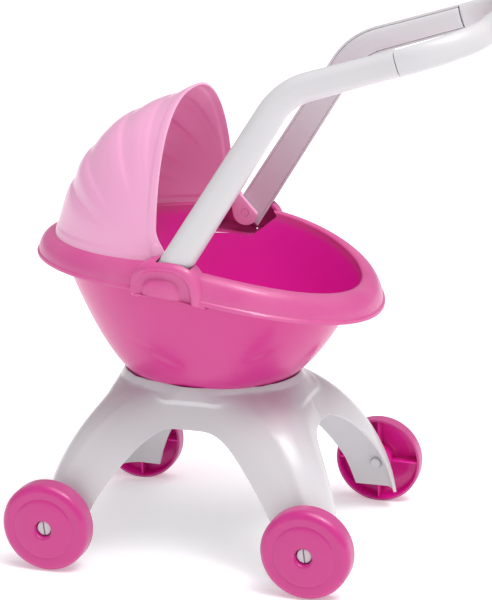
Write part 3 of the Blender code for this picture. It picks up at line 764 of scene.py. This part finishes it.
# %% Base: formulas
BASE_WALL, RING_Z = 3 * MM, 178 * MM
RING, RING_X, FOOT = (89.5 * MM, 70 * MM), -3.5 * MM, (158 * MM, 122 * MM)
LEG_ANGLE, LEG_REACH, LEG_CROWN_Z, LEG_BOTTOM_Z = 38.2, (188 * MM, 194 * MM), 190 * MM, 20 * MM
LEG_FLAT_Y = 122.3 * MM
LEG_EDGE_ANGLES, ARCH_TOPS = (33.0, 48.4), (130 * MM, 138 * MM)
DISH_SHARES, DISH_GAP, DISH_CLEARANCE = (0.213, 0.265), 0.3 * MM, 2 * MM
BAND_DEPTH, BAND_WIDTH, BAND_STEP = 3.4 * MM, 27 * MM, 6 * MM


def folded_angle(angle):
    """The angle from the nearer end of the stroller, from 0 to 90 degrees."""
    return abs((angle + 90) % 180 - 90)


def skirt_radius(angle, z):
    drop = min(max((RING_Z - z) / RING_Z, 0), 1)
    half_x = RING[0] + (FOOT[0] - RING[0]) * drop ** 0.85
    half_y = RING[1] + (FOOT[1] - RING[1]) * drop ** 0.8
    turn, leg = radians(angle), radians(LEG_ANGLE)
    oval = 1 / sqrt((cos(turn) / half_x) ** 2 + (sin(turn) / half_y) ** 2)
    oval_at_leg = 1 / sqrt((cos(leg) / half_x) ** 2 + (sin(leg) / half_y) ** 2)
    reach = LEG_REACH[cos(turn) > 0] * sqrt(1 - min(z / LEG_CROWN_Z, 1) ** 2)
    spread = 21 - 5 * drop
    ridge = exp(-((folded_angle(angle) - LEG_ANGLE) / spread) ** 2)
    return oval + max(reach - oval_at_leg, 0) * ridge


def skirt_edge(angle):
    folded = folded_angle(angle)
    rear_edge, side_edge = LEG_EDGE_ANGLES
    if folded < rear_edge:
        share, top = folded / rear_edge, ARCH_TOPS[0]
    elif folded > side_edge:
        share, top = (90 - folded) / (90 - side_edge), ARCH_TOPS[1]
    else:
        return LEG_BOTTOM_Z
    return LEG_BOTTOM_Z + (top - LEG_BOTTOM_Z) * (1 - share ** 4) ** 0.714


def arch_distance(angle, z, radius):
    """Distance from a point of the skirt to the nearer arch, from the arches' own equations."""
    folded = folded_angle(angle)
    rear_edge, side_edge = LEG_EDGE_ANGLES
    nearest = 1.0
    for share, span, top in ((folded / rear_edge, rear_edge, ARCH_TOPS[0]),
                             ((90 - folded) / (90 - side_edge), 90 - side_edge, ARCH_TOPS[1])):
        rise = max(z - LEG_BOTTOM_Z, 0.1 * MM) / (top - LEG_BOTTOM_Z)
        value = share ** 4 + rise ** 1.4 - 1
        slope_along = 4 * share ** 3 / (radians(span) * radius)
        slope_up = 1.4 * rise ** 0.4 / (top - LEG_BOTTOM_Z)
        nearest = min(nearest, value / sqrt(slope_along ** 2 + slope_up ** 2 + 1))
    return nearest


def base_angle(across):
    """Columns crowd together beside the legs, where the edge falls steeply."""
    quarter = int(across * 4) % 4
    share = across * 4 - int(across * 4)
    if quarter % 2:
        share = 1 - share
    if share < 0.5:
        angle = 39.5 * (1 - (1 - share / 0.5) ** 1.6)
    else:
        angle = 39.5 + 50.5 * ((share - 0.5) / 0.5) ** 1.6
    return (angle, 180 - angle, 180 + angle, 360 - angle)[quarter]


def base_point(across, along):
    angle = base_angle(across)
    turn = radians(angle)
    plate_share, dish_share = 0.03, 0.12
    plate = Vector((TUB_FLOOR_X, 0, TUB_FLOOR_Z - TUB_WALL - DISH_GAP))
    if along <= dish_share:
        dish_end = DISH_SHARES[0] + (DISH_SHARES[1] - DISH_SHARES[0]) * max(cos(turn), 0) ** 2
        bowl_share = max(along - plate_share, 0) / (dish_share - plate_share) * dish_end
        point = bowl_point(turn, bowl_share)
        point.z -= TUB_WALL + DISH_GAP + DISH_CLEARANCE * bowl_share
        return plate.lerp(point, along / plate_share) if along < plate_share else point
    share = (along - dish_share) / (1 - dish_share)
    edge = skirt_edge(angle)
    z = RING_Z + (edge - RING_Z) * share
    radius = skirt_radius(angle, z)
    distance = arch_distance(angle, z, radius)
    taper = 0.45 + 0.55 * smooth_step(z, LEG_BOTTOM_Z, 110 * MM)
    width = BAND_WIDTH * taper
    deepest = BAND_DEPTH * (0.5 + 0.5 * taper) * (0.35 + 0.65 * smooth_step(folded_angle(angle), 36, 44))
    radius -= deepest * (1 - smooth_step(distance, width - BAND_STEP * taper, width))
    y = max(-LEG_FLAT_Y, min(LEG_FLAT_Y, radius * sin(turn)))
    fade = 1 - min(max((RING_Z - z) / RING_Z, 0), 1)
    return Vector((radius * cos(turn) + RING_X * fade, y, z))


bm = wrapped_grid(384, 96, base_point)
face_towards(bm, (1, 0, 0))
base = to_object("base_shell", bm)
thicken(base, BASE_WALL)
print("base wall made,", len(base.data.polygons), "faces")

# %% [markdown]
# Behind each wheel the leg's wall holds a round bore for the axle pin. The bore is a rod a little wider
# than the pin, cut out of the wall from both of its sides.

# %% Base: axle bores
AXLE_RADIUS, AXLE_GAP = 6 * MM, 0.3 * MM
for end in (-1, 1):
    for side in (-1, 1):
        axle_x = end * half_wheelbase
        bore = rod(AXLE_RADIUS + AXLE_GAP, side * 100 * MM, side * 131 * MM, axle_x, wheel_radius)
        combine(base, bore, "DIFFERENCE")


def base_wear(at, normal):
    return 0.7 * (1 - smooth_step(at.z, 22 * MM, 70 * MM))


finish(base, "chassis", [white], ["base"], base_wear, crease=38)

# %% [markdown]
# # The handle
# Two cranked arms rise from the housings, and a U-shaped push bar plugs into them. An arm is a channel with
# a rounded back, closed on its inner side by a long flat cover. Its middle line is two straight stretches
# joined by an arc, and the channel is swept along it.

# %% Handle: the arms' middle line
ARM_WALL, ARM_BEND, ARM_BEND_RADIUS = 2.4 * MM, Vector((114.2 * MM, 485.6 * MM)), 66 * MM
GRIP_ANGLE, ARM_TOP_X = radians(16.6), 220.5 * MM


def arm_line(share):
    """Point and heading of the middle line, for a share of its length."""
    tangent = ARM_BEND_RADIUS * tan((ARM_ANGLE - GRIP_ANGLE) / 2)
    start = ARM_BEND - Vector((cos(ARM_ANGLE), sin(ARM_ANGLE))) * tangent
    centre = start + Vector((sin(ARM_ANGLE), -cos(ARM_ANGLE))) * ARM_BEND_RADIUS
    grip = Vector((cos(GRIP_ANGLE), sin(GRIP_ANGLE)))
    lower = (start - ARM_FOOT).length
    arc = ARM_BEND_RADIUS * (ARM_ANGLE - GRIP_ANGLE)
    upper = (ARM_TOP_X - ARM_BEND.x) / cos(GRIP_ANGLE) - tangent
    along = share * (lower + arc + upper)
    if along < lower:
        return ARM_FOOT.lerp(start, along / lower), ARM_ANGLE
    if along < lower + arc:
        turn = ARM_ANGLE - (along - lower) / ARM_BEND_RADIUS
        return centre + Vector((-sin(turn), cos(turn))) * ARM_BEND_RADIUS, turn
    return ARM_BEND + grip * (tangent + along - lower - arc), GRIP_ANGLE


def arm_width(share):
    return ARM_WIDTHS[0] + (ARM_WIDTHS[1] - ARM_WIDTHS[0]) * min(share * 1.08, 1)


def make_arm(side_name, side):
    def shell_point(across, along):
        along = 0.01 + 0.99 * along
        point, heading = arm_line(along)
        turn = pi / 2 * (2 * across - 1)
        offset = arm_width(along) / 2 * (1 if turn > 0 else -1) * abs(sin(turn)) ** 0.88
        depth = (ARM_OUTER_Y - ARM_INNER_Y) * abs(cos(turn)) ** 0.66
        return Vector((point.x - sin(heading) * offset, side * (ARM_INNER_Y + depth),
                       point.y + cos(heading) * offset))

    bm = wrapped_grid(48, 120, shell_point, closed=False)
    face_towards(bm, (0, side, 0))
    arm = to_object(f"arm_shell_{side_name}", bm)
    thicken(arm, ARM_WALL, edge_width=0.5 * MM)
    finish(arm, "chassis", [white], [f"arm_{side_name}"],
           lambda at, normal: 0.5 * smooth_step(at.x, 150 * MM, 230 * MM))

    def cover_point(across, along):
        along = 0.012 + 0.988 * along
        point, heading = arm_line(along)
        offset = (arm_width(along) / 2 - ARM_WALL - 0.15 * MM) * (2 * across - 1)
        bulge = 3.5 * MM * smooth_step(along, 0.5, 0.72) * sqrt(max(1 - (2 * across - 1) ** 2, 0))
        return Vector((point.x - sin(heading) * offset, side * (ARM_INNER_Y + 0.2 * MM - bulge),
                       point.y + cos(heading) * offset))

    bm = wrapped_grid(24, 120, cover_point, closed=False)
    face_towards(bm, (0, -side, 0))
    cover = to_object(f"arm_inner_cover_{side_name}", bm)
    thicken(cover, 2 * MM, edge_width=0.25 * MM)
    bore = rod(PIVOT_RADIUS + PIVOT_GAP, side * 117 * MM, side * 127 * MM, PIVOT.x, PIVOT.z)
    combine(cover, bore, "DIFFERENCE")
    finish(cover, "chassis", [white], [f"arm_cover_{side_name}"])


for side_name, side in SIDES:
    make_arm(side_name, side)

# %% [markdown]
# The push bar goes on in the plane of the arms' upper ends. Its section starts as the arm's own, so that
# the joint is only a fine line, and becomes a thicker oval in the hand. One half is described, and the path
# mirrors it. A narrow spigot at each end slides into the arm.

# %% Handle: the push bar
BAR_REAR_X, BAR_HALF_HEIGHT, BAR_HALF_DEPTHS = 295 * MM, 12.4 * MM, (6.9 * MM, 9.5 * MM)
BAR_CORNER_RADIUS, BAR_WALL, SPIGOT_LENGTH = 62 * MM, 2.4 * MM, 24 * MM


def bar_line(share):
    """Along, sideways and heading in the bar's tilted plane: share 0 is the right joint, 1 the left one."""
    half_share = min(share, 1 - share) * 2
    sign = -1 if share < 0.5 else 1
    arm_y = (ARM_INNER_Y + ARM_OUTER_Y) / 2
    end = (BAR_REAR_X - ARM_TOP_X) / cos(GRIP_ANGLE) - BAR_HALF_DEPTHS[1]
    corner = end - BAR_CORNER_RADIUS
    arc, cross = BAR_CORNER_RADIUS * pi / 2, arm_y - BAR_CORNER_RADIUS
    along = half_share * (corner + arc + cross)
    if along < corner:
        return along, sign * arm_y, 0.0
    if along < corner + arc:
        turn = (along - corner) / BAR_CORNER_RADIUS
        return (corner + BAR_CORNER_RADIUS * sin(turn),
                sign * (arm_y - BAR_CORNER_RADIUS * (1 - cos(turn))), turn)
    return end, sign * (arm_y - BAR_CORNER_RADIUS - (along - corner - arc)), pi / 2


bar_joint = arm_line(1)[0]


def bar_section(around, along, y, turn, half_depth, half_height, squareness):
    share = abs(sin(turn))
    side = -1 if y < 0 else 1
    out = half_depth * (1 if cos(around) > 0 else -1) * abs(cos(around)) ** squareness
    up = half_height * (1 if sin(around) > 0 else -1) * abs(sin(around)) ** squareness
    along += out * share
    y += out * cos(turn) * side
    return Vector((bar_joint.x + along * cos(GRIP_ANGLE) - up * sin(GRIP_ANGLE), y,
                   bar_joint.y + along * sin(GRIP_ANGLE) + up * cos(GRIP_ANGLE)))


def bar_point(across, share):
    spigot = 0.06
    around = 2 * pi * across
    side = -1 if share < 0.5 else 1
    if min(share, 1 - share) < spigot:
        arm_y = side * (ARM_INNER_Y + ARM_OUTER_Y) / 2
        back = SPIGOT_LENGTH * (1 - min(share, 1 - share) / spigot * 1.02)
        return bar_section(around, 0.3 * MM - max(back, 0), arm_y, 0, 3.9 * MM, 9.2 * MM, 0.9)
    along, y, turn = bar_line((share - spigot) / (1 - 2 * spigot))
    share = smooth_step(abs(sin(turn)), 0, 1)
    depth = BAR_HALF_DEPTHS[0] + (BAR_HALF_DEPTHS[1] - BAR_HALF_DEPTHS[0]) * share
    along += 0.3 * MM * (turn == 0)
    return bar_section(around, along, y, turn, depth, BAR_HALF_HEIGHT, 0.8 + 0.2 * share)


bm = wrapped_grid(64, 260, bar_point)
face_towards(bm, (1, 0, 0))
bar = to_object("push_bar_tube", bm)
thicken(bar, BAR_WALL, edge_width=0)
finish(bar, "chassis", [white], ["push_bar"],
       lambda at, normal: 0.8 * smooth_step(at.x, 240 * MM, 285 * MM))

# %% [markdown]
# # Wheels
# A wheel is one moulding, so one outline spun round its axle gives all of it: the hub tube, the slightly
# domed face with a shallow ring, the fat rounded shoulder, the tread, and the open cup behind. Four thin
# ribs stiffen the cup. The outline is a chain of short arcs and straights, written in millimetres.

# %% Wheels: outline, spin and ribs


def arc(centre, radius, start, end, steps):
    """Points of an arc in the wheel's section, as radius and height, with angles in degrees."""
    turns = [radians(start + (end - start) * step / steps) for step in range(steps + 1)]
    return [(centre[0] + radius * cos(turn), centre[1] + radius * sin(turn)) for turn in turns]


def wheel_outline():
    hub = [(6.3, 11.0), (7.9, 11.0), (8.3, 11.4), (8.3, 18.8)]
    hub_lip = arc((11.7, 19.2), 3.4, 180, 94, 9)
    face = [(15.0, 22.5), (18.0, 22.3), (21.5, 22.0), (25.0, 21.6), (28.6, 21.0)]
    ring = [(29.4, 20.75), (30.0, 20.3), (30.6, 20.0), (31.4, 20.1), (32.4, 20.45)]
    shoulder = arc((36.6, 12.2), 8.4, 100, 8, 18)
    tread = [(45.0, 12.0), (45.0, 2.0)] + arc((44.2, 0.9), 0.8, 15, -90, 4)
    cup = [(42.6, 0.1), (42.2, 0.6), (42.2, 12.0)] + arc((37.4, 12.4), 4.8, 0, 92, 8)
    back = [(31.4, 17.0), (30.2, 17.2), (24.0, 18.3), (15.5, 19.2)]
    tube = arc((15.5, 17.2), 2.0, 90, 180, 4) + [(13.5, 2.4), (13.1, 2.0), (6.7, 2.0), (6.3, 2.4)]
    return hub + hub_lip + face + ring + shoulder + tread + cup + back + tube


def spun(outline, steps=96):
    """Spins a closed outline of radius and height, in millimetres, round the Z axis."""
    bm = bmesh.new()
    verts = [bm.verts.new((radius * MM, 0, height * MM)) for radius, height in outline]
    on_axis = outline[0][0] == 0 and outline[-1][0] == 0
    chain = zip(verts, verts[1:] + ([] if on_axis else verts[:1]))
    edges = [bm.edges.new(pair) for pair in chain]
    bmesh.ops.spin(bm, geom=verts + edges, cent=(0, 0, 0), axis=(0, 0, 1), angle=2 * pi, steps=steps,
                   use_merge=True)
    bmesh.ops.remove_doubles(bm, verts=bm.verts, dist=0.001 * MM)
    bmesh.ops.recalc_face_normals(bm, faces=bm.faces)
    return bm


def add_to(bm, other):
    """Copies one bmesh into another."""
    mesh = bpy.data.meshes.new("part")
    other.to_mesh(mesh)
    other.free()
    bm.from_mesh(mesh)
    bpy.data.meshes.remove(mesh)


def place_on_axle(bm, end, side):
    """Turns a part that was built along Z so that it looks outwards, and moves it onto its axle."""
    turn = Matrix.Rotation(radians(-90 * side), 4, "X")
    place = Matrix.Translation((end * half_wheelbase, side * wheel_inner_y, wheel_radius))
    bmesh.ops.transform(bm, matrix=place @ turn, verts=bm.verts)


def make_wheel(name, end, side):
    bm = spun(wheel_outline())
    near, reach, half_thickness, low, high = 12.5 * MM, 42.6 * MM, 0.9 * MM, 2.6 * MM, 16.8 * MM
    for number in range(4):
        plate = block((near, -half_thickness, low), (reach, half_thickness, high))
        rib = rounded(plate, 0.4 * MM, segments=2)
        quarter = Matrix.Rotation(pi / 2 * number, 3, "Z")
        bmesh.ops.rotate(rib, cent=(0, 0, 0), matrix=quarter, verts=rib.verts)
        add_to(bm, rib)
    place_on_axle(bm, end, side)
    wheel = to_object(f"wheel_{name}_moulding", bm)
    axle = Vector((end * half_wheelbase, 0, wheel_radius))

    def tread_wear(at, normal):
        return smooth_step((Vector((at.x, 0, at.z)) - axle).length, 42.5 * MM, 45 * MM)

    # Painted bounce light and shade: 1 on the inner faces of the wheel's cup.
    def cup_painted_bounce(at, normal):
        across = Vector((at.x, 0, at.z)) - axle
        return (across.length < 42.5 * MM) * (1 - smooth_step(normal.y * side, 0.05, 0.3))

    finish(wheel, f"wheel_{name}", [wheel_pink], [f"wheel_{name}"], tread_wear, cup_painted_bounce)


def make_pin(name, end, side):
    """A push-in axle pin: a round head with a screwdriver slot, and a shaft."""
    head_top = 18.1
    shaft = [(0, -9.5), (4.8, -9.5), (6.0, -7.0), (6.0, 11.4)]
    head = [(7.3, 11.4), (7.5, 11.6)] + arc((6.0, 16.4), 1.5, 0, 90, 5) + [(0, head_top)]
    bm = spun(shaft + head, steps=64)
    place_on_axle(bm, end, side)
    pin = to_object(f"axle_pin_{name}_turned", bm)
    half_width, reach, depth = 0.8 * MM, 12 * MM, 3.2 * MM
    slot = block((-half_width, -reach, head_top * MM - depth), (half_width, reach, 24 * MM))
    bmesh.ops.rotate(slot, cent=(0, 0, 0), matrix=Matrix.Rotation(radians(6), 3, "Z"), verts=slot.verts)
    place_on_axle(slot, end, side)
    combine(pin, slot, "DIFFERENCE")
    finish(pin, "chassis", [white], [f"axle_pin_{name}"], crease=30)


for end_name, end in ENDS:
    for side_name, side in SIDES:
        make_wheel(f"{end_name}_{side_name}", end, side)
        make_pin(f"{end_name}_{side_name}", end, side)

# %% [markdown]
# # Small parts
# The pivot stubs and the screws are good as they are in the frame, so they only get their finish. The stubs
# are pale pink plastic like the ears round them, and the screws are steel.

# %% Finishes of the carried-over parts
for name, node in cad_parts.items():
    if name.startswith("hood_pivot"):
        node.data.materials.clear()
        node.data.materials.append(pale_pink)
    if name.startswith("tub_screw"):
        node.data.materials.clear()
        node.data.materials.append(steel)
print("carried over:", [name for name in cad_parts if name.startswith(("hood_pivot", "tub_screw"))])

# %% [markdown]
# # Floor and light
# A pale floor runs far enough back to fill the view. A bright, even surround and a wide, soft sky keep the
# white plastic clean, and two large lamps give the long, gentle highlights that glossy plastic shows.

# %% Floor, lights and surround
FLOOR_HALF = 40.0
bm = bmesh.new()
bmesh.ops.create_grid(bm, x_segments=1, y_segments=1, size=FLOOR_HALF)
floor_mesh = bpy.data.meshes.new("floor")
bm.to_mesh(floor_mesh)
bm.free()
floor = bpy.data.objects.new("floor", floor_mesh)
bpy.context.scene.collection.objects.link(floor)
floor_material = bpy.data.materials.new("floor_paper")
floor_material.use_nodes = True
floor_tree = floor_material.node_tree
floor_shader = floor_tree.nodes["Principled BSDF"]
paper = noise(floor_tree, add_node(floor_tree, "TexCoord").outputs["Object"], 3.0, 4.0)
floor_colour = blend_colours(floor_tree, paper, (0.95, 0.95, 0.955, 1), (0.935, 0.935, 0.94, 1))
link(floor_tree, floor_colour, floor_shader.inputs["Base Color"])
floor_shader.inputs["Roughness"].default_value = 0.9
floor_shader.inputs["Specular IOR Level"].default_value = 0.1
link(floor_tree, floor_colour, floor_shader.inputs["Emission Color"])
floor_shader.inputs["Emission Strength"].default_value = 0.3
floor_mesh.materials.append(floor_material)


LIGHT_AIM = Vector((0, 0, 0.25))


def soft_light(name, place, size, power):
    data = bpy.data.lights.new(name, "AREA")
    data.shape = "RECTANGLE"
    data.size, data.size_y = size
    data.energy = power
    light = bpy.data.objects.new(name, data)
    direction = LIGHT_AIM - Vector(place)
    light.matrix_world = Matrix.Translation(place) @ direction.to_track_quat("-Z", "Y").to_matrix().to_4x4()
    bpy.context.scene.collection.objects.link(light)


soft_light("key", (1.1, -0.6, 2.6), (0.7, 0.7), 20)
soft_light("fill", (-1.6, -2.0, 0.9), (1.0, 1.6), 1.5)
sky_data = bpy.data.lights.new("sky", "SUN")
sky_data.energy = 1.85
sky_data.angle = radians(50)
sky = bpy.data.objects.new("sky", sky_data)
sky.matrix_world = Vector((0.3, -0.1, 1.0)).to_track_quat("Z", "Y").to_matrix().to_4x4()
bpy.context.scene.collection.objects.link(sky)
world = bpy.data.worlds.new("studio")
world.use_nodes = True
surround = world.node_tree.nodes["Background"]
surround.inputs["Color"].default_value = (1.0, 0.995, 1.0, 1)
surround.inputs["Strength"].default_value = 0.44
bpy.context.scene.world = world
bpy.context.scene.view_settings.view_transform = "Standard"
